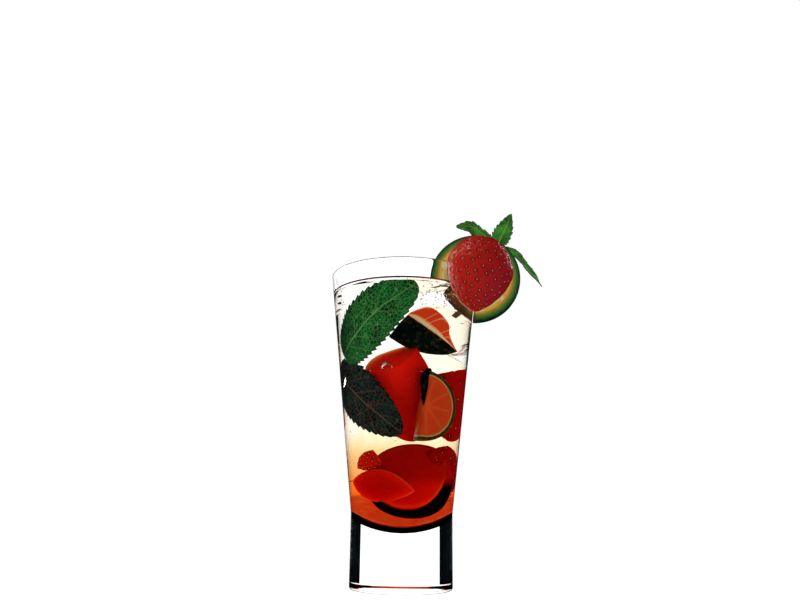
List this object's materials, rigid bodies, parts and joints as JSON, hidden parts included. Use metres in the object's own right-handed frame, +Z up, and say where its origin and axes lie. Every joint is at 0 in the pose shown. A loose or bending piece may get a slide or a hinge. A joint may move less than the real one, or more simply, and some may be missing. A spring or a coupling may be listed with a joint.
{
  "type": "mojito cocktail",
  "caption": "Red strawberry mojito in a heavy-footed conical highball glass, with a lime wheel, a strawberry and a mint sprig on the rim.",
  "frame": {"origin": "middle of the flat underside of the glass's foot", "axes": "+Z up along the glass's axis, -Y to the front, +X to the side of the rim that carries the garnish"},
  "size_m": [0.1175, 0.0856, 0.207],
  "materials": {
    "clear_glass": "polished clear",
    "drink": "clear red liquid, paler towards the top",
    "lime": "waxy green rind and wet pale flesh",
    "strawberry": "glossy dimpled skin with pale seeds",
    "mint_leaf": "satin leaf with pale veins",
    "mint_stem": "satin stem"
  },
  "bodies": {
    "root": {"glass": "clear_glass", "drink": "drink", "lime_wheel": "lime", "strawberry": "strawberry", "mint_stem": "mint_stem", "mint_leaf_1": "mint_leaf", "mint_leaf_2": "mint_leaf", "mint_leaf_3": "mint_leaf"}
  },
  "joints": []
}
